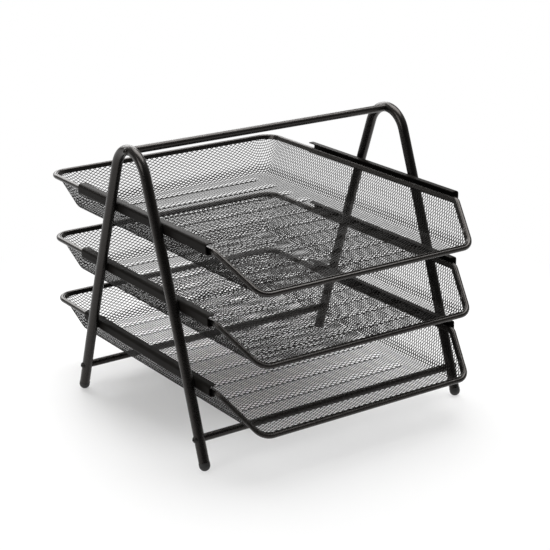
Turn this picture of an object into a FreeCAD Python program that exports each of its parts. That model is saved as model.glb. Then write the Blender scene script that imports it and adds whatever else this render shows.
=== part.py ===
import FreeCAD, Part
import math
import os
import Sketcher

# Three-tier letter tray: two A-shaped end frames of bent tube, three crossbars, six channel rails and
# three sliding mesh trays. Millimetres, +Z up, front towards -Y. The origin is on the ground, midway
# between the end frames and midway along the trays.

os.makedirs("parts", exist_ok=True)
doc = FreeCAD.newDocument("letter_tray")
Vector = FreeCAD.Vector
Rotation = FreeCAD.Rotation
Placement = FreeCAD.Placement

DIMENSIONS = {
    # end frames
    "frame_half_width": 144.5,  # from the middle to the plane of each end frame
    "frame_y": -12.5,  # the end frames stand forward of the trays' middle
    "leg_radius": 4.9,
    "leg_wall": 1.0,
    "leg_bow_radius": 7000.0,
    "apex_height": 267.5,  # centre line of the tube at the top of the bend
    "apex_bend": 27.3,
    "straight_height": 45.0,  # below this height the legs are straight
    "straight_reach": 99.5,  # from the frame's middle plane to the leg's centre line there
    "foot_height": 7.0,
    # foot caps
    "cap_radius": 5.1,
    "cap_skirt": 2.5,
    "cap_plug": 11.0,
    "cap_clearance": 0.03,
    # crossbars and their fasteners
    "crossbar_radius": 3.5,
    "crossbar_wall": 1.0,
    "low_crossbar_height": 27.6,
    "screw_radius": 1.5,
    "screw_clearance": 0.15,
    "screw_length": 18.0,
    "head_radius": 3.3,
    "head_dome": 2.4,
    "head_seat": 0.5,
    "socket_radius": 1.2,
    "socket_depth": 1.3,
    "insert_length": 12.0,
    "insert_setback": 3.0,
    # rails
    "rail_half_length": 115.2,
    "rail_height": 10.7,
    "rail_width": 7.6,
    "rail_sheet": 1.0,
    "rail_corner": 3.0,
    "low_rail_height": 74.6,  # middle of the lowest pair of rails above the ground
    "level_pitch": 65.0,
    "weld_depth": 1.0,
    "weld_gap": 0.8,
    "weld_reach": 2.9,
    "weld_length": 4.4,
    # trays, measured from the middle of the rim wire
    "tray_half_width": 133.6,
    "tray_half_length": 176.2,
    "wire_drop": 1.7,  # how far the rim wire lies below the rail's middle, just clear of the lower flange
    "rim_radius": 2.3,
    "rim_corner": 16.6,
    "knee_run": 43.5,  # how far behind the front rim the side rims start to drop
    "knee_bend": 9.0,
    "lip_drop": 30.7,
    "lip_corner": 14.0,
    "hem_reach": 4.5,
    "mesh_sheet": 0.5,
    "weld_bite": 0.15,  # how far the mesh is pressed into the rim wire
    "side_slope": 0.5,  # how far the side walls come in for each millimetre of depth, at their rear end
    "lip_slope": 0.61,  # the same at their front end
    "rear_slope": 0.42,
    "pan_depth": 35.2,
    "pan_top_corner": 16.5,
    "pan_floor_corner": 9.5,
    "pan_floor_bend": 8.0,
}

sheet = doc.addObject("Spreadsheet::Sheet", "Sheet")
for row, (alias, number) in enumerate(DIMENSIONS.items(), start=1):
    sheet.set(f"A{row}", alias)
    sheet.set(f"B{row}", str(number))
    sheet.setAlias(f"B{row}", alias)
doc.recompute()

SIDES = {"left": -1, "right": 1}
ENDS = {"front": -1, "rear": 1}
LEVELS = {"bottom": 0, "middle": 1, "top": 2}
ALONG_X = Rotation(Vector(0, 1, 0), 90)
NO_TURN = Rotation()
ORIGIN_POINT = (-1, 1)
CUT_OVERRUN = 1  # how far a cutting block passes through the face that it opens


def size(alias):
    """The number held in the sheet's cell of that name."""
    return float(sheet.get(alias))


def bind(obj, **expressions):
    for name, expression in expressions.items():
        obj.setExpression(name, expression)


def place(obj, base, rotation=NO_TURN):
    """Sets a placement whose position is three expressions of the sheet."""
    obj.Placement = Placement(Vector(), rotation)
    for axis, expression in zip("xyz", base):
        obj.setExpression(f"Placement.Base.{axis}", expression)


def origin_feature(body, role):
    for feature in body.Origin.OriginFeatures:
        if feature.Role == role:
            return feature
    raise ValueError(role)


def new_body(name):
    return doc.addObject("PartDesign::Body", name)


def new_sketch(body, name, plane, offset=None):
    """A sketch on one of the body's own planes, moved along the plane's normal by an expression."""
    sketch = body.newObject("Sketcher::SketchObject", name)
    sketch.AttachmentSupport = (origin_feature(body, plane), "")
    sketch.MapMode = "FlatFace"
    if offset:
        sketch.setExpression("AttachmentOffset.Base.z", offset)
    return sketch


def drive(sketch, expression, kind, *arguments):
    """Adds a driving dimension at its real value and binds it to the sheet."""
    value = float(sketch.evalExpression(expression))
    index = sketch.addConstraint(Sketcher.Constraint(kind, *arguments, value))
    sketch.setExpression(f"Constraints[{index}]", expression)


def boolean(kind, name, base, tool):
    result = doc.addObject(f"Part::{kind}", name)
    result.Base = base
    result.Tool = tool
    return result


def fuse_all(name, members):
    result = doc.addObject("Part::MultiFuse", name)
    result.Shapes = members
    return result


def compound(name, members):
    result = doc.addObject("Part::Compound", name)
    result.Links = members
    return result


def cylinder(name, radius, length, base, rotation=NO_TURN):
    result = doc.addObject("Part::Cylinder", name)
    bind(result, Radius=radius, Height=length)
    place(result, base, rotation)
    return result


# ---------------------------------------------------------------- end frames

def leg_angle():
    """Angle from +Y of the point where the apex bend meets the slightly bowed rear leg."""
    bow = size("leg_bow_radius")
    bend = size("apex_bend")
    reach = size("straight_reach")
    drop = size("straight_height") - (size("apex_height") - bend)
    distance = math.hypot(reach, drop)
    along = (bow**2 - (bow - bend) ** 2 - distance**2) / (2 * (bow - bend))
    return math.atan2(drop, reach) + math.acos(along / distance)


def bow_centre():
    """Centre, in (y, z), of the rear leg's bow."""
    offset = size("apex_bend") - size("leg_bow_radius")
    height = size("apex_height") - size("apex_bend")
    return offset * math.cos(leg_angle()), height + offset * math.sin(leg_angle())


def leg_reach(height):
    """Distance of a leg's centre line from the frame's middle plane, at a height."""
    y, z = bow_centre()
    bowed_height = max(height, size("straight_height"))
    reach = math.sqrt(size("leg_bow_radius") ** 2 - (bowed_height - z) ** 2)
    return y + reach + (bowed_height - height) * (bowed_height - z) / reach


def leg_lean(height):
    """Lean of a leg from the vertical, in degrees, at a height."""
    y, z = bow_centre()
    bowed_height = max(height, size("straight_height"))
    return math.degrees(math.atan2(bowed_height - z, leg_reach(bowed_height) - y))


def bent_bar(name, radius, side):
    """A solid bar along an end frame's centre line: the rear half, mirrored to the front."""
    body = new_body(name)
    bend = size("apex_bend")
    top = size("apex_height")
    centre_y, centre_z = bow_centre()
    bow_end = Vector(size("straight_reach"), size("straight_height"), 0)
    foot = Vector(leg_reach(size("foot_height")), size("foot_height"), 0)
    end_angle = math.atan2(bow_end.y - centre_z, bow_end.x - centre_y)
    path = new_sketch(body, f"{name}_path", "YZ_Plane")
    apex_circle = Part.Circle(Vector(0, top - bend, 0), Vector(0, 0, 1), bend)
    leg_circle = Part.Circle(Vector(centre_y, centre_z, 0), Vector(0, 0, 1), size("leg_bow_radius"))
    path.addGeometry(Part.ArcOfCircle(apex_circle, leg_angle(), math.pi / 2))
    path.addGeometry(Part.ArcOfCircle(leg_circle, end_angle, leg_angle()))
    path.addGeometry(Part.LineSegment(bow_end, foot))
    profile = new_sketch(body, f"{name}_profile", "XZ_Plane")
    profile.addGeometry(Part.Circle(Vector(0, top, 0), Vector(0, 0, 1), 1))
    drive(profile, radius, "Radius", 0)
    profile.addConstraint(Sketcher.Constraint("PointOnObject", 0, 3, -2))
    drive(profile, "Sheet.apex_height", "DistanceY", *ORIGIN_POINT, 0, 3)
    doc.recompute()
    half = body.newObject("PartDesign::AdditivePipe", f"{name}_half")
    half.Profile = profile
    half.Spine = (path, ["Edge1", "Edge2", "Edge3"])
    mirrored = body.newObject("PartDesign::Mirrored", f"{name}_mirrored")
    mirrored.Originals = [half]
    mirrored.MirrorPlane = (origin_feature(body, "XZ_Plane"), [""])
    body.Tip = mirrored
    place(body, (f"{side} * Sheet.frame_half_width", "Sheet.frame_y", "0"))
    return body


def crossbar_centres():
    """Position, in (y, z), of each crossbar."""
    low = size("low_crossbar_height")
    middle = size("frame_y")
    return {
        "top": (middle, size("apex_height")),
        "front": (middle - leg_reach(low), low),
        "rear": (middle + leg_reach(low), low),
    }


def end_frame(side_name):
    """Hollow tube with a clearance hole and a flat seat for each crossbar screw."""
    side = SIDES[side_name]
    name = f"end_frame_{side_name}"
    outer = bent_bar(f"{name}_outer", "Sheet.leg_radius", side)
    bore = bent_bar(f"{name}_bore", "Sheet.leg_radius - Sheet.leg_wall", side)
    tools = [bore]
    hole_start = f"{side} * Sheet.frame_half_width - Sheet.leg_radius - {CUT_OVERRUN}"
    if side > 0:
        seat_start = "Sheet.frame_half_width + Sheet.leg_radius - Sheet.head_seat"
    else:
        seat_start = f"-Sheet.frame_half_width - Sheet.leg_radius - {CUT_OVERRUN}"
    for bar, (y, z) in crossbar_centres().items():
        hole = cylinder(
            f"{name}_{bar}_hole",
            "Sheet.screw_radius + Sheet.screw_clearance",
            f"2 * Sheet.leg_radius + {2 * CUT_OVERRUN}",
            (hole_start, str(y), str(z)),
            ALONG_X,
        )
        seat = cylinder(
            f"{name}_{bar}_seat",
            "Sheet.head_radius + 2 * Sheet.screw_clearance",
            f"Sheet.head_seat + {CUT_OVERRUN}",
            (seat_start, str(y), str(z)),
            ALONG_X,
        )
        tools += [hole, seat]
    tube = boolean("Cut", name, outer, fuse_all(f"{name}_removed", tools))
    return tube, outer


# ---------------------------------------------------------------- foot caps

def foot_cap(end_name, side_name, ground):
    """Rounded plug in the end of a leg, flat where it stands on the ground."""
    name = f"foot_cap_{end_name}_{side_name}"
    body = new_body(f"{name}_plug")
    profile = new_sketch(body, f"{name}_profile", "XZ_Plane")
    plug = size("leg_radius") - size("leg_wall") - size("cap_clearance")
    length = size("cap_plug")
    skirt = size("cap_skirt")
    radius = size("cap_radius")
    corners = [(0, length), (plug, length), (plug, 0), (radius, 0), (radius, -skirt)]
    points = [Vector(x, z, 0) for x, z in corners]
    for start, end in zip(points, points[1:]):
        profile.addGeometry(Part.LineSegment(start, end))
    dome = Part.Circle(Vector(0, -skirt, 0), Vector(0, 0, 1), radius)
    profile.addGeometry(Part.ArcOfCircle(dome, -math.pi / 2, 0))
    profile.addGeometry(Part.LineSegment(Vector(0, -skirt - radius, 0), points[0]))
    doc.recompute()
    turned = body.newObject("PartDesign::Revolution", f"{name}_turned")
    turned.Profile = profile
    turned.ReferenceAxis = (profile, ["V_Axis"])
    turned.Angle = 360
    body.Tip = turned
    end = ENDS[end_name]
    lean = Rotation(Vector(1, 0, 0), end * leg_lean(size("foot_height")))
    across = f"{SIDES[side_name]} * Sheet.frame_half_width"
    along = f"Sheet.frame_y + {end * leg_reach(size('foot_height'))}"
    place(body, (across, along, "Sheet.foot_height"), lean)
    return boolean("Cut", name, body, ground)


def ground_block():
    """Everything below the ground, which flattens the foot caps."""
    block = doc.addObject("Part::Box", "ground")
    bind(
        block,
        Length="4 * Sheet.frame_half_width",
        Width="4 * Sheet.frame_half_width",
        Height="4 * Sheet.cap_radius",
    )
    corner = "-2 * Sheet.frame_half_width"
    place(block, (corner, corner, "-4 * Sheet.cap_radius"))
    return block


# ---------------------------------------------------------------- crossbars, inserts and screws

def crossbar(bar, centre, outers):
    """Tube between the end frames, its ends shaped to sit against their round legs."""
    y, z = (str(value) for value in centre)
    name = f"{bar}_crossbar"
    start = ("-Sheet.frame_half_width", y, z)
    length = "2 * Sheet.frame_half_width"
    solid = cylinder(f"{name}_outside", "Sheet.crossbar_radius", length, start, ALONG_X)
    inner_radius = "Sheet.crossbar_radius - Sheet.crossbar_wall"
    bore = cylinder(f"{name}_inside", inner_radius, length, start, ALONG_X)
    return boolean("Cut", name, solid, fuse_all(f"{name}_removed", [bore] + outers))


def crossbar_inserts(bar, centre):
    """Threaded plugs inside both ends of a crossbar."""
    y, z = (str(value) for value in centre)
    name = f"{bar}_crossbar_inserts"
    far = "Sheet.frame_half_width - Sheet.leg_radius - Sheet.insert_setback"
    starts = {"left": f"-({far})", "right": f"{far} - Sheet.insert_length"}
    inserts = []
    for side_name, start in starts.items():
        place_at = (start, y, z)
        label = f"{name}_{side_name}"
        radius = "Sheet.crossbar_radius - Sheet.crossbar_wall"
        plug = cylinder(f"{label}_plug", radius, "Sheet.insert_length", place_at, ALONG_X)
        thread = cylinder(f"{label}_thread", "Sheet.screw_radius", "Sheet.insert_length", place_at, ALONG_X)
        inserts.append(boolean("Cut", label, plug, thread))
    return compound(name, inserts)


def domed_screw(name, side, centre):
    """Dome-head socket screw. Its own +X points out of the head, from the head's seat."""
    body = new_body(name)
    shank = size("screw_radius")
    head = size("head_radius")
    rise = size("head_dome")
    length = size("screw_length")
    dome_centre = (rise**2 - head**2) / (2 * rise)
    profile = new_sketch(body, f"{name}_profile", "XZ_Plane")
    corners = [(rise, 0), (-length, 0), (-length, shank), (0, shank), (0, head)]
    points = [Vector(x, z, 0) for x, z in corners]
    for start, end in zip(points, points[1:]):
        profile.addGeometry(Part.LineSegment(start, end))
    dome = Part.Circle(Vector(dome_centre, 0, 0), Vector(0, 0, 1), rise - dome_centre)
    profile.addGeometry(Part.ArcOfCircle(dome, 0, math.atan2(head, -dome_centre)))
    doc.recompute()
    turned = body.newObject("PartDesign::Revolution", f"{name}_turned")
    turned.Profile = profile
    turned.ReferenceAxis = (profile, ["H_Axis"])
    turned.Angle = 360
    socket = new_sketch(body, f"{name}_socket_outline", "YZ_Plane", "Sheet.head_dome")
    hexagon = [
        Vector(size("socket_radius") * math.cos(turn), size("socket_radius") * math.sin(turn), 0)
        for turn in (math.radians(60 * step) for step in range(6))
    ]
    for start, end in zip(hexagon, hexagon[1:] + hexagon[:1]):
        socket.addGeometry(Part.LineSegment(start, end))
    doc.recompute()
    recess = body.newObject("PartDesign::Pocket", f"{name}_socket")
    recess.Profile = socket
    recess.Type = "Length"
    bind(recess, Length="Sheet.socket_depth")
    body.Tip = recess
    y, z = centre
    seat = f"{side} * (Sheet.frame_half_width + Sheet.leg_radius - Sheet.head_seat)"
    turn = Rotation(Vector(0, 0, 1), 0 if side > 0 else 180)
    place(body, (seat, str(y), str(z)), turn)
    doc.recompute()
    if recess.Shape.Volume >= turned.Shape.Volume:
        raise ValueError(f"{name}: the socket cuts nothing")
    return body


def crossbar_screws(bar, centre):
    name = f"{bar}_crossbar_screws"
    screws = [domed_screw(f"{name}_{side_name}", side, centre) for side_name, side in SIDES.items()]
    return compound(name, screws)


# ---------------------------------------------------------------- rails and their welds

def channel_outline(sketch, towards, width, height, corner, web):
    """A box outline, rounded at the web, that reaches from the web to the channel's open side."""
    half = float(sketch.evalExpression(height)) / 2
    tip = towards * float(sketch.evalExpression(width))
    radius = float(sketch.evalExpression(corner))
    back = towards * float(sketch.evalExpression(web)) if web else 0
    near = back + towards * radius
    sketch.addGeometry(Part.LineSegment(Vector(tip, -half, 0), Vector(tip, half, 0)))
    sketch.addGeometry(Part.LineSegment(Vector(tip, half, 0), Vector(near, half, 0)))
    sketch.addGeometry(Part.LineSegment(Vector(back, half - radius, 0), Vector(back, radius - half, 0)))
    sketch.addGeometry(Part.LineSegment(Vector(near, -half, 0), Vector(tip, -half, 0)))
    upper = Part.Circle(Vector(near, half - radius, 0), Vector(0, 0, 1), radius)
    lower = Part.Circle(Vector(near, radius - half, 0), Vector(0, 0, 1), radius)
    quarter = math.pi / 2
    if towards > 0:
        sketch.addGeometry(Part.ArcOfCircle(upper, quarter, 2 * quarter))
        sketch.addGeometry(Part.ArcOfCircle(lower, 2 * quarter, 3 * quarter))
        joins = [(1, 2, 4, 1), (4, 2, 2, 1), (2, 2, 5, 1), (5, 2, 3, 1)]
    else:
        sketch.addGeometry(Part.ArcOfCircle(upper, 0, quarter))
        sketch.addGeometry(Part.ArcOfCircle(lower, 3 * quarter, 4 * quarter))
        joins = [(1, 2, 4, 2), (4, 1, 2, 1), (2, 2, 5, 2), (5, 1, 3, 1)]
    sketch.addConstraint(Sketcher.Constraint("Coincident", 0, 2, 1, 1))
    sketch.addConstraint(Sketcher.Constraint("Coincident", 3, 2, 0, 1))
    for join in joins:
        sketch.addConstraint(Sketcher.Constraint("Tangent", *join))
    sketch.addConstraint(Sketcher.Constraint("Vertical", 0))
    sketch.addConstraint(Sketcher.Constraint("Vertical", 2))
    sketch.addConstraint(Sketcher.Constraint("Horizontal", 1))
    sketch.addConstraint(Sketcher.Constraint("Horizontal", 3))
    sketch.addConstraint(Sketcher.Constraint("Equal", 4, 5))
    drive(sketch, corner, "Radius", 4)
    drive(sketch, f"({height}) / 2", "DistanceY", *ORIGIN_POINT, 1, 1)
    drive(sketch, f"({height}) / 2", "DistanceY", 3, 1, *ORIGIN_POINT)
    tip_order = (*ORIGIN_POINT, 0, 1) if towards > 0 else (0, 1, *ORIGIN_POINT)
    drive(sketch, width, "DistanceX", *tip_order)
    if web:
        web_order = (*ORIGIN_POINT, 2, 1) if towards > 0 else (2, 1, *ORIGIN_POINT)
        drive(sketch, web, "DistanceX", *web_order)
    else:
        sketch.addConstraint(Sketcher.Constraint("PointOnObject", 2, 1, -2))


def rail(level_name, side_name):
    """Folded channel on the inside of the legs, open towards the tray."""
    name = f"rail_{level_name}_{side_name}"
    side = SIDES[side_name]
    body = new_body(name)
    outline = new_sketch(body, f"{name}_outline", "XZ_Plane")
    channel_outline(outline, -side, "Sheet.rail_width", "Sheet.rail_height", "Sheet.rail_corner", None)
    doc.recompute()
    bar = body.newObject("PartDesign::Pad", f"{name}_bar")
    bar.Profile = outline
    bar.SideType = "Symmetric"
    bind(bar, Length="2 * Sheet.rail_half_length")
    hollow_outline = new_sketch(body, f"{name}_hollow_outline", "XZ_Plane")
    channel_outline(
        hollow_outline,
        -side,
        "Sheet.rail_width + Sheet.rail_sheet",
        "Sheet.rail_height - 2 * Sheet.rail_sheet",
        "Sheet.rail_corner - Sheet.rail_sheet",
        "Sheet.rail_sheet",
    )
    doc.recompute()
    hollow = body.newObject("PartDesign::Pocket", f"{name}_hollow")
    hollow.Profile = hollow_outline
    hollow.SideType = "Symmetric"
    bind(hollow, Length="2 * Sheet.rail_half_length + 2 * Sheet.rail_sheet")
    body.Tip = hollow
    web_face = f"{side} * (Sheet.frame_half_width - Sheet.leg_radius)"
    place(body, (web_face, "Sheet.frame_y", level_height(level_name)))
    doc.recompute()
    if hollow.Shape.Volume >= bar.Shape.Volume / 2:
        raise ValueError(f"{name}: the channel isn't hollow")
    return body


def level_height(level_name):
    """Height of the middle of a tray's rails, as an expression."""
    return f"Sheet.low_rail_height + {LEVELS[level_name]} * Sheet.level_pitch"


def rail_welds(side_name, outer):
    """Fillet welds on both sides of each place where a leg crosses a rail."""
    side = SIDES[side_name]
    name = f"rail_welds_{side_name}"
    blanks = []
    for level_name, level in LEVELS.items():
        height = size("low_rail_height") + level * size("level_pitch")
        for end_name, end in ENDS.items():
            lean = Rotation(Vector(1, 0, 0), end * leg_lean(height))
            crossing = Vector(0, size("frame_y") + end * leg_reach(height), height)
            for edge_name, start in (("ahead", -size("weld_reach")), ("behind", size("weld_gap"))):
                blank = doc.addObject("Part::Box", f"{name}_{level_name}_{end_name}_{edge_name}")
                bind(
                    blank,
                    Length="Sheet.weld_depth",
                    Width="Sheet.weld_reach - Sheet.weld_gap",
                    Height="Sheet.weld_length",
                )
                corner = crossing + lean.multVec(Vector(0, start, -size("weld_length") / 2))
                web_face = f"{side} * (Sheet.frame_half_width - Sheet.leg_radius)"
                if side < 0:
                    web_face += " - Sheet.weld_depth"
                place(blank, (web_face, str(corner.y), str(corner.z)), lean)
                blanks.append(blank)
    return boolean("Cut", name, compound(f"{name}_blanks", blanks), outer)


# ---------------------------------------------------------------- trays

def rounded_path(corners):
    """Closed wire through corner points, each rounded to its radius, from midway along the last side."""
    tangents = []
    edges = []
    count = len(corners)
    for index, (point, radius) in enumerate(corners):
        back = (corners[index - 1][0] - point).normalize()
        ahead = (corners[(index + 1) % count][0] - point).normalize()
        half_angle = math.acos(back.dot(ahead)) / 2
        reach = radius / math.tan(half_angle)
        bisector = (back + ahead).normalize()
        middle = point + bisector * (radius / math.sin(half_angle) - radius)
        tangents.append((point + back * reach, middle, point + ahead * reach))
    seam = (tangents[-1][2] + tangents[0][0]) * 0.5
    position = seam
    for start, middle, end in tangents:
        edges.append(Part.LineSegment(position, start).toShape())
        edges.append(Part.Arc(start, middle, end).toShape())
        position = end
    edges.append(Part.LineSegment(position, seam).toShape())
    return Part.Wire(edges), seam


def rim_path():
    """Centre line of a tray's rim: level at the back and sides, bent down to the lip in front."""
    width = size("tray_half_width")
    length = size("tray_half_length")
    drop = size("lip_drop")
    lip_width = width - size("lip_slope") * drop
    knee_y = size("knee_run") - length
    corners = [
        (Vector(width, length, 0), size("rim_corner")),
        (Vector(width, knee_y, 0), size("knee_bend")),
        (Vector(lip_width, -length, -drop), size("lip_corner")),
        (Vector(-lip_width, -length, -drop), size("lip_corner")),
        (Vector(-width, knee_y, 0), size("knee_bend")),
        (Vector(-width, length, 0), size("rim_corner")),
    ]
    return rounded_path(corners)


def rim_sweep(name, path, seam, radius):
    """Round bar swept along the rim's centre line."""
    section = doc.addObject("Part::Circle", f"{name}_section")
    bind(section, Radius=radius)
    section.Placement = Placement(seam, ALONG_X)
    sweep = doc.addObject("Part::Sweep", name)
    sweep.Sections = [section]
    sweep.Spine = (path, [f"Edge{index + 1}" for index in range(len(path.Shape.Edges))])
    sweep.Solid = True
    sweep.Frenet = False
    return sweep


def pan_outline(sketch, depth, skin, corner):
    """The pan's outline at a depth below the rim wire's middle, moved in by a skin thickness.

    It is a rounded rectangle whose front is a little narrower the deeper it lies.
    """
    inset = {}
    for edge in ("side", "lip", "rear"):
        slope = f"Sheet.{edge}_slope"
        lean = f"sqrt(1 + {slope} ^ 2)"
        inset[edge] = f"((Sheet.rim_radius - Sheet.weld_bite + {skin}) * {lean} + ({depth}) * {slope})"
    rear_width = f"Sheet.tray_half_width - {inset['side']}"
    front_width = f"Sheet.tray_half_width - {inset['lip']}"
    rear = f"Sheet.tray_half_length - {inset['rear']}"
    front = f"Sheet.tray_half_length - {inset['side']} + Sheet.lip_drop * Sheet.side_slope"
    radius = size("pan_floor_corner")
    wide = size("tray_half_width") - 2 * radius
    long = size("tray_half_length") - 2 * radius
    turns = [(1, 1), (-1, 1), (-1, -1), (1, -1)]
    for index, (x, y) in enumerate(turns):
        next_x, next_y = turns[(index + 1) % 4]
        outward = Vector(x + next_x, y + next_y, 0) * (radius / 2)
        start = Vector(x * wide, y * long, 0) + outward
        end = Vector(next_x * wide, next_y * long, 0) + outward
        sketch.addGeometry(Part.LineSegment(start, end))
        centre = Part.Circle(Vector(next_x * wide, next_y * long, 0), Vector(0, 0, 1), radius)
        first = math.pi / 2 * (index + 1)
        sketch.addGeometry(Part.ArcOfCircle(centre, first, first + math.pi / 2))
    rear_line, rear_arc, left_line, front_arc, front_line, _, right_line, _ = range(8)
    for line in range(0, 8, 2):
        sketch.addConstraint(Sketcher.Constraint("Tangent", line, 2, line + 1, 1))
        sketch.addConstraint(Sketcher.Constraint("Tangent", line + 1, 2, (line + 2) % 8, 1))
    sketch.addConstraint(Sketcher.Constraint("Horizontal", rear_line))
    sketch.addConstraint(Sketcher.Constraint("Horizontal", front_line))
    sketch.addConstraint(Sketcher.Constraint("Symmetric", left_line, 1, right_line, 2, -2))
    sketch.addConstraint(Sketcher.Constraint("Symmetric", left_line, 2, right_line, 1, -2))
    drive(sketch, corner, "Radius", rear_arc)
    drive(sketch, corner, "Radius", front_arc)
    drive(sketch, rear_width, "DistanceX", *ORIGIN_POINT, right_line, 2)
    drive(sketch, front_width, "DistanceX", *ORIGIN_POINT, right_line, 1)
    drive(sketch, rear, "DistanceY", *ORIGIN_POINT, rear_line, 1)
    drive(sketch, front, "DistanceY", front_line, 1, *ORIGIN_POINT)


def pan_block(name, top, depth, skin, bend):
    """Solid block with the pan's outline, sloping walls and a rounded floor edge."""
    body = new_body(name)
    upper = new_sketch(body, f"{name}_upper", "XY_Plane", top)
    pan_outline(upper, f"-({top})", skin, "Sheet.pan_top_corner")
    lower = new_sketch(body, f"{name}_lower", "XY_Plane", f"-({depth})")
    pan_outline(lower, depth, skin, "Sheet.pan_floor_corner")
    doc.recompute()
    block = body.newObject("PartDesign::AdditiveLoft", f"{name}_loft")
    block.Profile = upper
    block.Sections = [lower]
    block.Ruled = True
    doc.recompute()
    floor = min(vertex.Z for vertex in block.Shape.Vertexes)
    edges = [
        f"Edge{index + 1}"
        for index, edge in enumerate(block.Shape.Edges)
        if all(abs(vertex.Z - floor) < 0.001 for vertex in edge.Vertexes)
    ]
    rounded = body.newObject("PartDesign::Fillet", f"{name}_rounded")
    rounded.Base = (block, edges)
    bind(rounded, Radius=bend)
    body.Tip = rounded
    return body


def lip_cutter():
    """Everything above the sloping front edge of a tray."""
    body = new_body("lip_cutter")
    outline = new_sketch(body, "lip_cutter_outline", "YZ_Plane")
    slope = math.atan2(size("lip_drop"), size("knee_run"))
    above = size("rim_radius")
    knee_y = size("knee_run") - size("tray_half_length") - above * math.tan(slope / 2)
    reach = 2 * size("knee_run")
    low = Vector(knee_y - reach, above - reach * math.tan(slope), 0)
    corners = [Vector(knee_y, above, 0), Vector(knee_y, reach, 0), Vector(knee_y - reach, reach, 0), low]
    for start, end in zip(corners, corners[1:] + corners[:1]):
        outline.addGeometry(Part.LineSegment(start, end))
    doc.recompute()
    block = body.newObject("PartDesign::Pad", "lip_cutter_block")
    block.Profile = outline
    block.SideType = "Symmetric"
    bind(block, Length="4 * Sheet.tray_half_width")
    body.Tip = block
    return body


def tray_masters():
    """The rim, hem and basket of one tray, with the middle of its rim wire at height zero."""
    path = doc.addObject("Part::Feature", "rim_centre_line")
    path.Shape, seam = rim_path()
    rim = rim_sweep("rim", path, seam, "Sheet.rim_radius")
    reach = rim_sweep("hem_limit", path, seam, "Sheet.hem_reach")
    outside = pan_block("pan_outside", "Sheet.rim_radius", "Sheet.pan_depth", "0", "Sheet.pan_floor_bend")
    inside = pan_block(
        "pan_inside",
        f"Sheet.rim_radius + {CUT_OVERRUN}",
        "Sheet.pan_depth - Sheet.mesh_sheet",
        "Sheet.mesh_sheet",
        "Sheet.pan_floor_bend - Sheet.mesh_sheet",
    )
    removed = fuse_all("pan_removed", [inside, lip_cutter()])
    pan = boolean("Cut", "pan", outside, removed)
    basket = boolean("Cut", "basket", pan, reach)
    edge = boolean("Common", "pan_edge", pan, reach)
    hem = boolean("Cut", "hem", edge, rim)
    return {"rim": rim, "hem": hem, "basket": basket}


# ---------------------------------------------------------------- assembly

nodes = []
outers = []
ground = ground_block()
for side_name in SIDES:
    tube, outer = end_frame(side_name)
    nodes.append(tube)
    outers.append(outer)
    nodes.append(rail_welds(side_name, outer))
    for end_name in ENDS:
        nodes.append(foot_cap(end_name, side_name, ground))
    for level_name in LEVELS:
        nodes.append(rail(level_name, side_name))

for bar, centre in crossbar_centres().items():
    nodes.append(crossbar(bar, centre, outers))
    nodes.append(crossbar_inserts(bar, centre))
    nodes.append(crossbar_screws(bar, centre))

for piece, master in tray_masters().items():
    for level_name in LEVELS:
        node = compound(f"{piece}_{level_name}", [master])
        place(node, ("0", "0", f"{level_height(level_name)} - Sheet.wire_drop"))
        nodes.append(node)

doc.recompute()

for obj in doc.Objects:
    if "Invalid" in obj.State or "Error" in obj.State:
        raise ValueError(f"{obj.Name} failed: {obj.State}")
for node in nodes:
    if node.Shape.isNull() or not node.Shape.isValid():
        raise ValueError(f"{node.Label} has no valid shape")
for node in nodes:
    node.Shape.exportStep(f"parts/{node.Label}.step")
print(len(nodes), "sub-parts")
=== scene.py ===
import math

import bpy
import numpy as np
from mathutils import Matrix, Vector


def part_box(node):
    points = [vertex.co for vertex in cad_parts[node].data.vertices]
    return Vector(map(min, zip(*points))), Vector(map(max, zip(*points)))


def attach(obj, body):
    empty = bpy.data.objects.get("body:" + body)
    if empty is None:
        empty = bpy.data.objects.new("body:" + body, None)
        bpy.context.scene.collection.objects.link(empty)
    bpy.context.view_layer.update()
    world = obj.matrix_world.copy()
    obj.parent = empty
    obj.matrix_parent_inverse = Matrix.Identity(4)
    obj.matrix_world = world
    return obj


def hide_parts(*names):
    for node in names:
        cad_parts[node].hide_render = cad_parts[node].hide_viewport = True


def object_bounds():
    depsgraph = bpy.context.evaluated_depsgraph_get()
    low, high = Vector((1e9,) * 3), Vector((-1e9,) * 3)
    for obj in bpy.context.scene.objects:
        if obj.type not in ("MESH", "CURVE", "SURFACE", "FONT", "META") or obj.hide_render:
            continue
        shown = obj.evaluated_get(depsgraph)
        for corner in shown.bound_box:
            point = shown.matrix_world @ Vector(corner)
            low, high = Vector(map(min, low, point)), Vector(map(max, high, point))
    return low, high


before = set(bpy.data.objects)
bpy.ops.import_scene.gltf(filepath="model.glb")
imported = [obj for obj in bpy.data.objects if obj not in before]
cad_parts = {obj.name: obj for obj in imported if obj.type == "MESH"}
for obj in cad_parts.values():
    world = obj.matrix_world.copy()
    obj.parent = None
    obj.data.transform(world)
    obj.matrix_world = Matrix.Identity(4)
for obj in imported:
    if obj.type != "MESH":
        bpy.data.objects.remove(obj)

# The three-tier mesh letter tray: the CAD model carries the frame, rails, rims and fasteners; this
# script adds the expanded steel mesh of the three trays, every surface finish, the studio and the
# camera. Tray shapes are worked out in millimetres, with z = 0 at the middle of the rim wire.

cad_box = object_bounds()
MM = 0.001
LEVELS = ("bottom", "middle", "top")

# ---------------------------------------------------------------- tray dimensions, in millimetres

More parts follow.
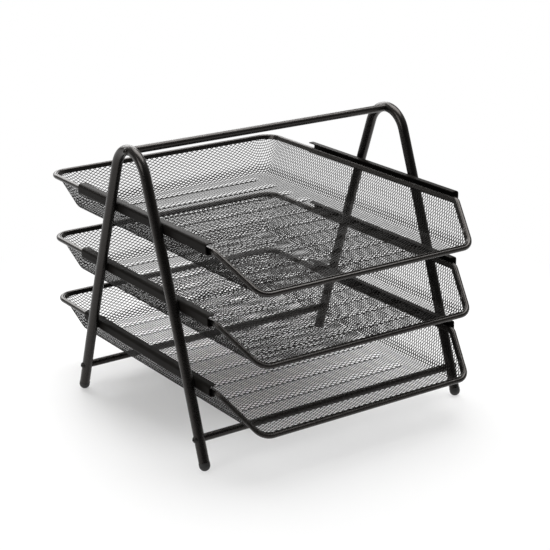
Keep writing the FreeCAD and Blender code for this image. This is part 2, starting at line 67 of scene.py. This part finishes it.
RIM_RADIUS = 2.3
rim_low, rim_high = (Vector(corner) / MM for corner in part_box("rim_top"))
basket_low, basket_high = (Vector(corner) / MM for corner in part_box("basket_top"))
HALF_WIDTH = rim_high.x - RIM_RADIUS
HALF_LENGTH = rim_high.y - RIM_RADIUS
RIM_HEIGHT = rim_high.z - RIM_RADIUS
LIP_DROP = RIM_HEIGHT - rim_low.z - RIM_RADIUS
PAN_DEPTH = RIM_HEIGHT - basket_low.z
KNEE_RUN = 43.5  # how far behind the front rim the side rims start to drop
WIRE_BITE = 0.15  # how far the mesh is pressed into the rim wire
SIDE_SLOPE = 0.5  # outward lean of the side walls for each millimetre of height, at the rear
LIP_SLOPE = 0.61  # the same at the front
REAR_SLOPE = 0.42
FLOOR_BEND = 8.0  # radius of the bend between floor and wall
FLOOR_CORNER = 3.0  # radius of the flat floor's corners
RIM_CORNER = 16.5
WALL_LENGTH = 44.0  # along the wall, from the flat floor's edge to the rim wire
CORNER_GROWTH = 1.1  # largest corner radius against RIM_CORNER, for the sheet above the rim wire

# expanded mesh: one sheet, the long way of its diamonds across the tray
LONG_PITCH = 6.1
SHORT_PITCH = 3.24
OPENING = 0.78  # an opening's size against its pitch
OPENING_POINTS = 8  # four corners on each side of the sheet
SHEET = 0.21
SHEET_MARGIN = 30  # how far the flat sheet reaches past the rim wire's outline before it is trimmed
BEND_MIDDLE = 8.0  # distance up the wall of the middle of its bend
BEND_REACH = 9.0
BEND_CLOSING = 0.14
MESH_LAP = 1.2  # how far the mesh runs up past the middle of the rim wire
CORNER_BLEND = 34.0  # length of wall on each side of a corner over which the mesh closes up
HEM_WIDTH = 2.4
HEM_SHEET = 0.7
HEM_ROWS = 7
HEM_TOP = 0.9  # how far past the rim wire's middle the hem runs, in wire radii
HEM_LOWEST = 1.0  # least distance up the wall of the hem's lower edge
OUTLINE_STEP = 3.0
CORNER_STEPS = 25
WALL_SEARCH = (60, 0.25)  # how far up the wall the rim wire is looked for, and in what steps

# grooves pressed into the floor, running across the tray
GROOVE_PITCH = 30.9
GROOVE_PHASE = 17.9
FIRST_GROOVE, LAST_GROOVE = -5, 4
GROOVE_NEAR = 3.5  # length of the side that faces the rear
GROOVE_FAR = 8.0
GROOVE_DEPTH = 2.3
GROOVE_REACH = 96.0
GROOVE_FADE = 7.0


# ---------------------------------------------------------------- the pan as a mapping of a flat sheet

def wall_profile(level, slope):
    """How far out and up a wall has come at a distance along it from the floor, bend included."""
    deflection = np.arctan2(1.0, slope)
    lean = np.sqrt(1 + slope**2)
    turn = np.clip(level / FLOOR_BEND, 0, deflection)
    beyond = np.maximum(level - FLOOR_BEND * deflection, 0)
    out = FLOOR_BEND * np.sin(turn) + beyond * slope / lean
    up = FLOOR_BEND * (1 - np.cos(turn)) + beyond / lean
    return out, up


def floor_inset(slope):
    """Distance from the rim wire's middle to the line where the flat floor starts to bend up."""
    lean = np.sqrt(1 + slope**2)
    tangent = FLOOR_BEND * np.tan(np.arctan2(1.0, slope) / 2)
    return (RIM_RADIUS - WIRE_BITE) * lean + PAN_DEPTH * slope + tangent


def side_slope(y):
    """Outward lean of the side walls, which changes evenly from rear to front."""
    share = np.clip((y + HALF_LENGTH) / (2 * HALF_LENGTH), 0, 1)
    return LIP_SLOPE + (SIDE_SLOPE - LIP_SLOPE) * share


FLOOR_REAR = HALF_LENGTH - floor_inset(REAR_SLOPE)
FLOOR_FRONT = HALF_LENGTH + LIP_DROP * SIDE_SLOPE - floor_inset(SIDE_SLOPE)


def floor_half_width(y):
    return HALF_WIDTH - floor_inset(side_slope(y))


def groove_drop(x, y):
    """Depth of the floor's pressed grooves."""
    row = np.round((y - GROOVE_PHASE) / GROOVE_PITCH)
    across = y - GROOVE_PHASE - row * GROOVE_PITCH
    across = np.abs(np.where(across < 0, across / GROOVE_NEAR, across / GROOVE_FAR))
    section = np.where(across < 1, 0.5 + 0.5 * np.cos(math.pi * across), 0)
    end = np.clip((GROOVE_REACH - np.abs(x)) / GROOVE_FADE, 0, 1)
    inside = (row >= FIRST_GROOVE) & (row <= LAST_GROOVE)
    return GROOVE_DEPTH * section * end**2 * (3 - 2 * end) * inside


def pan_point(x, y):
    """Where a point of the flat sheet lies in the pressed pan."""
    rear = y > (FLOOR_REAR - FLOOR_FRONT) / 2
    way = np.where(rear, 1.0, -1.0)
    end_slope = np.where(rear, REAR_SLOPE, SIDE_SLOPE)
    floor_end = np.where(rear, FLOOR_REAR, FLOOR_FRONT)
    slope = side_slope(y)
    a = np.abs(x) - (floor_half_width(y) - FLOOR_CORNER)
    b = y * way - (floor_end - FLOOR_CORNER)
    corner = (a > 0) & (b > 0)
    radius = np.where(corner, np.hypot(a, b), np.maximum(a, b))
    level = np.maximum(radius - FLOOR_CORNER, 0)
    eighth = math.pi / 4
    angle = np.arctan2(b, a)
    straight = np.where(a > b, b - eighth * radius, eighth * radius - a)
    arc = np.where(corner, (angle - eighth) * radius, straight)
    side_out, side_up = wall_profile(level, slope)
    end_out, end_up = wall_profile(level, end_slope)
    full = wall_profile(np.full_like(level, WALL_LENGTH), slope)[0]
    bend = FLOOR_CORNER + (RIM_CORNER - FLOOR_CORNER) * np.minimum(side_out / full, CORNER_GROWTH)
    growth = bend - FLOOR_CORNER
    surplus = np.where(arc < 0, growth - end_out, growth - side_out) + eighth * (radius - bend)
    span = CORNER_BLEND + eighth * radius
    place = np.clip(arc / span, -1, 1)
    arc = arc - surplus * np.sin(math.pi / 2 * place)
    turn = np.clip(arc / bend + eighth, 0, 2 * eighth)
    centre_x = floor_half_width(y) + side_out - bend
    centre_y = floor_end + end_out - bend
    px = centre_x + bend * np.cos(turn) - np.maximum(arc - eighth * bend, 0)
    py = centre_y + bend * np.sin(turn) + np.minimum(arc + eighth * bend, 0)
    share = turn / (2 * eighth)
    up = side_up * (1 - share) + end_up * share
    flat = level <= 0
    px = np.where(flat, np.abs(x), px) * np.sign(x)
    py = np.where(flat, y, py * way)
    pz = np.where(flat, 0, up) - PAN_DEPTH - groove_drop(x, y) * flat
    return np.stack([px, py, pz], axis=-1), level


def pan_normal(x, y):
    """Direction across the sheet, pointing into the tray."""
    step = 0.2
    along_x = pan_point(x + step, y)[0] - pan_point(x - step, y)[0]
    along_y = pan_point(x, y + step)[0] - pan_point(x, y - step)[0]
    normal = np.cross(along_x, along_y)
    return normal / np.maximum(np.linalg.norm(normal, axis=-1, keepdims=True), 1e-9)


def rim_line(y):
    """Height of the rim wire's middle above or below its level part."""
    knee = KNEE_RUN - HALF_LENGTH
    return np.clip((y - knee) * LIP_DROP / KNEE_RUN, -LIP_DROP, 0)


# ---------------------------------------------------------------- meshes

def mesh_object(name, points, faces, smooth=False):
    mesh = bpy.data.meshes.new(name)
    mesh.from_pydata(points, [], faces)
    mesh.update()
    if smooth:
        mesh.shade_smooth()
    thing = bpy.data.objects.new(name, mesh)
    bpy.context.scene.collection.objects.link(thing)
    return thing


def opening_share(x, y):
    """Size of an opening against its pitch: smaller where the sheet is bent hardest."""
    _, level = pan_point(x, y)
    bent = np.clip(1 - np.abs(level - BEND_MIDDLE) / BEND_REACH, 0, 1)
    return OPENING - BEND_CLOSING * bent**2 * (3 - 2 * bent)


def lattice_sheet():
    """Points and faces of the flat expanded sheet: each opening has four corners on each side."""
    columns = int((HALF_WIDTH + SHEET_MARGIN) / (LONG_PITCH / 2))
    rows = int((HALF_LENGTH + SHEET_MARGIN) / (SHORT_PITCH / 2))
    i, j = np.meshgrid(np.arange(-columns, columns + 1), np.arange(-rows, rows + 1), indexing="ij")
    inside = (i + j) % 2 == 0
    number = np.full(i.shape, -1)
    number[inside] = np.arange(inside.sum())
    centre_x = i[inside] * LONG_PITCH / 2
    centre_y = j[inside] * SHORT_PITCH / 2
    share = opening_share(centre_x, centre_y)
    reach_x = LONG_PITCH / 2 * share
    reach_y = SHORT_PITCH / 2 * share
    corners = [(reach_x, 0), (0, reach_y), (-reach_x, 0), (0, -reach_y)]
    x = np.stack([centre_x + dx for dx, _ in corners] * 2, axis=1)
    y = np.stack([centre_y + dy for _, dy in corners] * 2, axis=1)
    padded = np.pad(number, 2, constant_values=-1)

    def neighbour(di, dj):
        """Number of the opening so many half pitches along and across from each one, or -1."""
        return padded[2 + di:2 + di + i.shape[0], 2 + dj:2 + dj + i.shape[1]][inside]

    here = number[inside]
    upper_right = neighbour(1, 1)
    upper_left = neighbour(-1, 1)
    lower_right = neighbour(1, -1)
    right = neighbour(2, 0)
    EAST, NORTH, WEST, SOUTH = range(4)
    faces = []

    def add(*pairs):
        """Faces through (opening, corner) pairs, wherever all the openings exist."""
        exists = np.all([opening >= 0 for opening, _ in pairs], axis=0)
        numbers = [opening[exists] * OPENING_POINTS + corner for opening, corner in pairs]
        faces.append(np.stack(numbers, axis=1))

    underside = OPENING_POINTS // 2
    for corner in range(underside):
        following = (corner + 1) % underside
        add((here, corner), (here, following), (here, following + underside), (here, corner + underside))
    for under in (0, underside):
        strands = [
            [(here, EAST), (upper_right, SOUTH), (upper_right, WEST), (here, NORTH)],
            [(here, NORTH), (upper_left, EAST), (upper_left, SOUTH), (here, WEST)],
            [(here, EAST), (lower_right, NORTH), (right, WEST), (upper_right, SOUTH)],
        ]
        for strand in strands:
            pairs = [(opening, corner + under) for opening, corner in strand]
            add(*(pairs[::-1] if under else pairs))
    return x.ravel(), y.ravel(), np.concatenate(faces)


def pressed_lattice():
    """The lattice pressed into the pan, as (points, floor faces, wall faces)."""
    x, y, faces = lattice_sheet()
    points, level = pan_point(x, y)
    normal = pan_normal(x, y)
    upper = np.arange(len(x)) % OPENING_POINTS < OPENING_POINTS // 2
    side = np.where(upper, 0.5, -0.5)
    solid = points + normal * (side * SHEET)[:, None]
    below_rim = points[:, 2] < rim_line(points[:, 1]) + MESH_LAP
    faces = faces[below_rim[faces].all(axis=1)]
    on_floor = (level[faces] <= 0).all(axis=1)
    return solid, faces[on_floor], faces[~on_floor]


def take(points, faces):
    """The points that some faces use, with the faces renumbered to them."""
    used, renumbered = np.unique(faces, return_inverse=True)
    return points[used], renumbered.reshape(faces.shape)


def quarter_turn(middle_x, middle_y, quarter):
    """A corner of the floor's outline: points round the corner's middle and outward directions."""
    points = []
    for angle in np.linspace(quarter * math.pi / 2, (quarter + 1) * math.pi / 2, CORNER_STEPS):
        out = (math.cos(angle), math.sin(angle))
        points.append(((middle_x + FLOOR_CORNER * out[0], middle_y + FLOOR_CORNER * out[1]), out))
    return points


def perimeter():
    """Points on the floor's outline and outward directions, anticlockwise from the front right."""
    rear_width = floor_half_width(FLOOR_REAR) - FLOOR_CORNER
    front_width = floor_half_width(-FLOOR_FRONT) - FLOOR_CORNER
    rear = FLOOR_REAR - FLOOR_CORNER
    front = -FLOOR_FRONT + FLOOR_CORNER
    outline = [((floor_half_width(y), y), (1, 0)) for y in np.arange(front, rear, OUTLINE_STEP)]
    outline += quarter_turn(rear_width, rear, 0)
    for x in np.arange(rear_width - OUTLINE_STEP, -rear_width, -OUTLINE_STEP):
        outline.append(((x, FLOOR_REAR), (0, 1)))
    outline += quarter_turn(-rear_width, rear, 1)
    outline += [((-floor_half_width(y), y), (-1, 0)) for y in np.arange(rear, front, -OUTLINE_STEP)]
    outline += quarter_turn(-front_width, front, 2)
    for x in np.arange(-front_width + OUTLINE_STEP, front_width, OUTLINE_STEP):
        outline.append(((x, -FLOOR_FRONT), (0, -1)))
    outline += quarter_turn(front_width, front, 3)
    starts, directions = zip(*outline)
    return np.array(starts), np.array(directions)


def hem_band():
    """Closed strip of folded sheet along the rim wire, on the pan's surface."""
    starts, directions = perimeter()
    search, search_step = WALL_SEARCH
    levels = np.arange(0, search, search_step)
    x = starts[:, 0:1] + directions[:, 0:1] * levels
    y = starts[:, 1:2] + directions[:, 1:2] * levels
    points, _ = pan_point(x, y)
    above = points[..., 2] - rim_line(points[..., 1])
    crossing = np.argmax(above > 0, axis=1)
    rows = np.arange(len(starts))
    low = above[rows, crossing - 1]
    high = above[rows, crossing]
    rim_level = levels[crossing] - search_step * high / (high - low)
    steep = np.abs(directions[:, 0]) * (points[rows, crossing, 1] < KNEE_RUN - HALF_LENGTH)
    stretch = 1 + steep * (math.hypot(1, LIP_DROP / KNEE_RUN) - 1)
    shares = np.linspace(0, 1, HEM_ROWS)
    top = rim_level + RIM_RADIUS * HEM_TOP
    bottom = np.maximum(rim_level - HEM_WIDTH * stretch, HEM_LOWEST)
    level = bottom[:, None] + (top - bottom)[:, None] * shares
    x = starts[:, 0:1] + directions[:, 0:1] * level
    y = starts[:, 1:2] + directions[:, 1:2] * level
    middle, _ = pan_point(x, y)
    normal = pan_normal(x, y)
    inner = middle + normal * HEM_SHEET / 2
    outer = middle - normal * HEM_SHEET / 2
    ring = np.concatenate([inner, outer[:, ::-1]], axis=1)
    count, around = ring.shape[:2]
    index = np.arange(count * around).reshape(count, around)
    ahead = np.roll(index, -1, axis=0)
    faces = np.stack([index, np.roll(index, -1, axis=1), np.roll(ahead, -1, axis=1), ahead], axis=-1)
    return ring.reshape(-1, 3), faces.reshape(-1, 4)


# ---------------------------------------------------------------- materials

NOISE_RANGE = (0.3, 0.7)  # where nearly all of a noise texture's values lie
WARM_SHEEN = (1.0, 0.93, 0.88, 1.0)
DARK_CAP = ((0.012, 0.012, 0.012), (0.03, 0.029, 0.028))
GREY_STEEL = ((0.42, 0.41, 0.40), (0.60, 0.59, 0.57))


def node_material(name):
    material = bpy.data.materials.new(name)
    material.use_nodes = True
    tree = material.node_tree
    shader = tree.nodes["Principled BSDF"]
    place = tree.nodes.new("ShaderNodeTexCoord")
    return material, tree, shader, place.outputs["Object"]


def noise(tree, vector, scale, detail=4.0, roughness=0.55):
    node = tree.nodes.new("ShaderNodeTexNoise")
    node.inputs["Scale"].default_value = scale
    node.inputs["Detail"].default_value = detail
    node.inputs["Roughness"].default_value = roughness
    tree.links.new(vector, node.inputs["Vector"])
    return node.outputs["Fac"]


def spread(tree, value, low, high):
    """A noise value spread over a range."""
    node = tree.nodes.new("ShaderNodeMapRange")
    node.inputs["From Min"].default_value = NOISE_RANGE[0]
    node.inputs["From Max"].default_value = NOISE_RANGE[1]
    node.inputs["To Min"].default_value = low
    node.inputs["To Max"].default_value = high
    tree.links.new(value, node.inputs["Value"])
    return node.outputs["Result"]


def blend_colours(tree, factor, first, second):
    node = tree.nodes.new("ShaderNodeMix")
    node.data_type = "RGBA"
    node.inputs["A"].default_value = (*first, 1)
    node.inputs["B"].default_value = (*second, 1)
    tree.links.new(factor, node.inputs["Factor"])
    return node.outputs["Result"]


def bump(tree, height, strength, distance, below=None):
    node = tree.nodes.new("ShaderNodeBump")
    node.inputs["Strength"].default_value = strength
    node.inputs["Distance"].default_value = distance
    tree.links.new(height, node.inputs["Height"])
    if below is not None:
        tree.links.new(below, node.inputs["Normal"])
    return node.outputs["Normal"]


def coating(name, dark, light, roughness, peel, gloss):
    """Black powder coat: slightly uneven in tone and gloss, with a fine orange-peel skin."""
    material, tree, shader, place = node_material(name)
    broad = noise(tree, place, 45, 3)
    fine = noise(tree, place, 1400, 2)
    grain = noise(tree, place, 4200, 1)
    tone = blend_colours(tree, spread(tree, broad, 0, 1), dark, light)
    tree.links.new(tone, shader.inputs["Base Color"])
    tree.links.new(spread(tree, fine, roughness - 0.05, roughness + 0.06), shader.inputs["Roughness"])
    skin = bump(tree, grain, peel * 0.5, 0.00006, bump(tree, fine, peel, 0.00018))
    tree.links.new(skin, shader.inputs["Normal"])
    shader.inputs["Specular IOR Level"].default_value = gloss
    shader.inputs["Specular Tint"].default_value = WARM_SHEEN
    return material


def rubber(name):
    """Moulded cap: duller than the paint, slightly clouded and with a faint mould texture."""
    material, tree, shader, place = node_material(name)
    cloud = noise(tree, place, 220, 5)
    pores = noise(tree, place, 3000, 2)
    tone = blend_colours(tree, spread(tree, cloud, 0, 1), *DARK_CAP)
    tree.links.new(tone, shader.inputs["Base Color"])
    tree.links.new(spread(tree, cloud, 0.52, 0.68), shader.inputs["Roughness"])
    tree.links.new(bump(tree, pores, 0.4, 0.0001), shader.inputs["Normal"])
    return material


def bare_steel(name):
    """Machined steel of the inserts, faintly scratched."""
    material, tree, shader, place = node_material(name)
    cloud = noise(tree, place, 300, 4)
    scratches = noise(tree, place, 2600, 3)
    tone = blend_colours(tree, spread(tree, cloud, 0, 1), *GREY_STEEL)
    tree.links.new(tone, shader.inputs["Base Color"])
    tree.links.new(spread(tree, scratches, 0.28, 0.45), shader.inputs["Roughness"])
    tree.links.new(bump(tree, scratches, 0.2, 0.00005), shader.inputs["Normal"])
    shader.inputs["Metallic"].default_value = 1.0
    return material


BLACK = ((0.0035, 0.0033, 0.0031), (0.0060, 0.0056, 0.0052))
RAIL_BLACK = ((0.0075, 0.0068, 0.0062), (0.0110, 0.0100, 0.0090))
WIRE_BLACK = ((0.0035, 0.0033, 0.0031), (0.0060, 0.0057, 0.0053))
MESH_BLACK = ((0.0040, 0.0038, 0.0036), (0.0070, 0.0066, 0.0062))
SCREW_BLACK = ((0.004, 0.004, 0.004), (0.007, 0.007, 0.007))

finishes = {
    "frame_paint": coating("frame_paint", *BLACK, roughness=0.27, peel=0.12, gloss=0.42),
    "rail_paint": coating("rail_paint", *RAIL_BLACK, roughness=0.38, peel=0.12, gloss=0.03),
    "tray_wire": coating("tray_wire", *WIRE_BLACK, roughness=0.25, peel=0.12, gloss=0.44),
    "tray_mesh": coating("tray_mesh", *MESH_BLACK, roughness=0.48, peel=0.20, gloss=0.06),
    "screw_black": coating("screw_black", *SCREW_BLACK, roughness=0.28, peel=0.12, gloss=0.35),
    "foot_cap": rubber("foot_cap"),
    "plain_steel": bare_steel("plain_steel"),
}

node_finish = {
    "end_frame": "frame_paint",
    "crossbar_screws": "screw_black",
    "crossbar_inserts": "plain_steel",
    "crossbar": "frame_paint",
    "rail": "rail_paint",
    "foot_cap": "foot_cap",
    "rim": "tray_wire",
    "hem": "tray_wire",
    "basket": "tray_mesh",
}


def finish_of(node_name):
    for part, finish in node_finish.items():
        if part in node_name:
            return finishes[finish]
    raise ValueError(node_name)


for node_name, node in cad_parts.items():
    paint = finish_of(node_name)
    if not node.material_slots:
        node.data.materials.append(paint)
    for holder in node.material_slots:
        holder.material = paint

# ---------------------------------------------------------------- the three trays' mesh

lattice_points, floor_faces, wall_faces = pressed_lattice()
hem_points, hem_faces = hem_band()


def tray_piece(name, level_name, points, faces, finish, smooth=False):
    """One piece of a tray, lifted from the rim wire's middle to its level."""
    rim_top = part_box(f"rim_{level_name}")[1][2] / MM
    lift = np.array([0, 0, rim_top - RIM_RADIUS])
    piece = mesh_object(f"{name}_{level_name}", ((points + lift) * MM).tolist(), faces.tolist(), smooth)
    piece.data.materials.append(finishes[finish])
    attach(piece, f"tray_{level_name}")
    return piece


for level_name in LEVELS:
    mesh_floor = tray_piece("mesh_floor", level_name, *take(lattice_points, floor_faces), "tray_mesh")
    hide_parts(f"basket_{level_name}")
    tray_piece("mesh_walls", level_name, *take(lattice_points, wall_faces), "tray_mesh")
    band = tray_piece("hem_band", level_name, hem_points, hem_faces, "tray_wire", smooth=True)
    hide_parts(f"hem_{level_name}")

# ---------------------------------------------------------------- studio, in metres

IMAGE_SIDE = 550  # in pixels
FLOOR_REACH = 9.0
FLOOR_GAP = 0.0002  # below the feet
FLOOR_WHITE = ((0.80, 0.80, 0.80), (0.82, 0.82, 0.82))
ROOM_LIGHT = (0.015, 0.55)  # strength behind the camera and beyond the object
AWAY_FROM_CAMERA = (0.50, 0.80, 0.33)
DARK_SIDE = -0.6  # the room is darkest where its direction has this share of AWAY_FROM_CAMERA
PAINTED_FLOOR_FILL = (0.14, 0.60)  # share of painted fill light (the floor's own glow) in the middle of the painted shade under the object and at its edge
# middle and reach of the painted shade under the object, where the floor's painted glow is weaker
PAINTED_SHADE_MIDDLE = (-0.04, 0.03, 0)
PAINTED_SHADE_REACH = (0.05, 0.18)
FLOOR_FADE = (0.20, 0.52)  # distances from the object over which the floor turns to backdrop


def ease(tree, value, reach, result=(0, 1)):
    """Eases from one result to the other as the value crosses its reach."""
    node = tree.nodes.new("ShaderNodeMapRange")
    node.interpolation_type = "SMOOTHSTEP"
    for name, number in zip(("From Min", "From Max", "To Min", "To Max"), (*reach, *result)):
        node.inputs[name].default_value = number
    tree.links.new(value, node.inputs["Value"])
    return node.outputs["Result"]


def distance_from(tree, place, point):
    node = tree.nodes.new("ShaderNodeVectorMath")
    node.operation = "DISTANCE"
    node.inputs[1].default_value = point
    tree.links.new(place, node.inputs[0])
    return node.outputs["Value"]


def mix_shaders(tree, share, first, second):
    node = tree.nodes.new("ShaderNodeMixShader")
    for socket, output in zip(node.inputs, (share, first, second)):
        tree.links.new(output, socket)
    return node.outputs["Shader"]


def stage_floor():
    """Pale floor that glows with painted fill light, weaker in a painted shade under the object, and
    that fades to the white backdrop away from it.
    """
    ground = Vector(cad_box[0]).z - FLOOR_GAP
    turns = [(-1, -1), (1, -1), (1, 1), (-1, 1)]
    corners = [(x * FLOOR_REACH, y * FLOOR_REACH, ground) for x, y in turns]
    floor = mesh_object("studio_floor", corners, [(0, 1, 2, 3)])
    material, tree, shader, place = node_material("studio_floor")
    cloud = noise(tree, place, 3, 2)
    tone = blend_colours(tree, spread(tree, cloud, 0, 1), *FLOOR_WHITE)
    tree.links.new(tone, shader.inputs["Base Color"])
    shader.inputs["Roughness"].default_value = 0.55
    shader.inputs["Specular IOR Level"].default_value = 0.2
    backdrop = tree.nodes.new("ShaderNodeEmission").outputs["Emission"]
    # painted fill light: the floor glows, less in a painted shade under the object
    fill = ease(tree, distance_from(tree, place, PAINTED_SHADE_MIDDLE), PAINTED_SHADE_REACH, PAINTED_FLOOR_FILL)
    filled = mix_shaders(tree, fill, shader.outputs["BSDF"], backdrop)
    fade = ease(tree, distance_from(tree, place, (0, 0, 0)), FLOOR_FADE)
    surface = mix_shaders(tree, fade, filled, backdrop)
    tree.links.new(surface, tree.nodes["Material Output"].inputs["Surface"])
    floor.data.materials.append(material)


def studio_world():
    """White behind the object, and a dimmer room in reflections and for fill light."""
    world = bpy.data.worlds.new("studio")
    world.use_nodes = True
    tree = world.node_tree
    backdrop = tree.nodes["Background"]
    backdrop.inputs["Color"].default_value = (1, 1, 1, 1)
    room = tree.nodes.new("ShaderNodeBackground")
    room.inputs["Color"].default_value = (1, 0.98, 0.95, 1)
    direction = tree.nodes.new("ShaderNodeTexCoord")
    beyond = tree.nodes.new("ShaderNodeVectorMath")
    beyond.operation = "DOT_PRODUCT"
    beyond.inputs[1].default_value = AWAY_FROM_CAMERA
    tree.links.new(direction.outputs["Generated"], beyond.inputs[0])
    strength = tree.nodes.new("ShaderNodeMapRange")
    strength.inputs["From Min"].default_value = DARK_SIDE
    strength.inputs["To Min"].default_value = ROOM_LIGHT[0]
    strength.inputs["To Max"].default_value = ROOM_LIGHT[1]
    tree.links.new(beyond.outputs["Value"], strength.inputs["Value"])
    tree.links.new(strength.outputs["Result"], room.inputs["Strength"])
    path = tree.nodes.new("ShaderNodeLightPath")
    seen = path.outputs["Is Camera Ray"]
    surface = mix_shaders(tree, seen, room.outputs["Background"], backdrop.outputs["Background"])
    tree.links.new(surface, tree.nodes["World Output"].inputs["Surface"])
    bpy.context.scene.world = world


def soft_light(name, place, target, width, height, power):
    """A softbox that faces its target."""
    lamp = bpy.data.lights.new(name, "AREA")
    lamp.shape = "RECTANGLE"
    lamp.size = width
    lamp.size_y = height
    lamp.energy = power
    light = bpy.data.objects.new(name, lamp)
    light.location = place
    light.rotation_euler = (Vector(target) - Vector(place)).to_track_quat("-Z", "Y").to_euler()
    bpy.context.scene.collection.objects.link(light)


def camera():
    """The camera stands at the front left, a little above the trays, and looks down at them."""
    azimuth = math.radians(-34.137)
    elevation = math.radians(19.185)
    roll = math.radians(-0.483)
    distance = 1.34065
    target = Vector((-0.0819, -0.14772, 0.17601))
    level_back = Vector((math.sin(azimuth), -math.cos(azimuth), 0))
    back = level_back * math.cos(elevation) + Vector((0, 0, math.sin(elevation)))
    right = Vector((0, 0, 1)).cross(back).normalized()
    up = back.cross(right)
    turned_right = right * math.cos(roll) + up * math.sin(roll)
    turned_up = back.cross(turned_right)
    lens = bpy.data.cameras.new("camera")
    lens.lens = 102.19
    lens.sensor_width = 36
    lens.shift_x = -0.5 / IMAGE_SIDE
    lens.shift_y = 0.5 / IMAGE_SIDE
    lens.clip_end = 100
    view = bpy.data.objects.new("camera", lens)
    axes = Matrix((turned_right, turned_up, back)).transposed().to_4x4()
    view.matrix_world = Matrix.Translation(target + back * distance) @ axes
    bpy.context.scene.collection.objects.link(view)
    bpy.context.scene.camera = view


stage_floor()
camera()
studio_world()
soft_light("key", place=(-1.8, -0.2, 1.3), target=(0, 0, 0.12), width=1.0, height=1.0, power=12)
soft_light("overhead", place=(0.5, 0.4, 2.2), target=(0, 0, 0.1), width=2.2, height=1.6, power=66)
soft_light("rear", place=(0.5, 2.2, 1.3), target=(0, 0, 0.15), width=2.4, height=1.2, power=36)
bpy.context.scene.view_settings.view_transform = "Standard"
# the mesh's openings are about as fine as a pixel, and smoothed guides would let denoising smear them
bpy.context.scene.cycles.denoising_prefilter = "NONE"
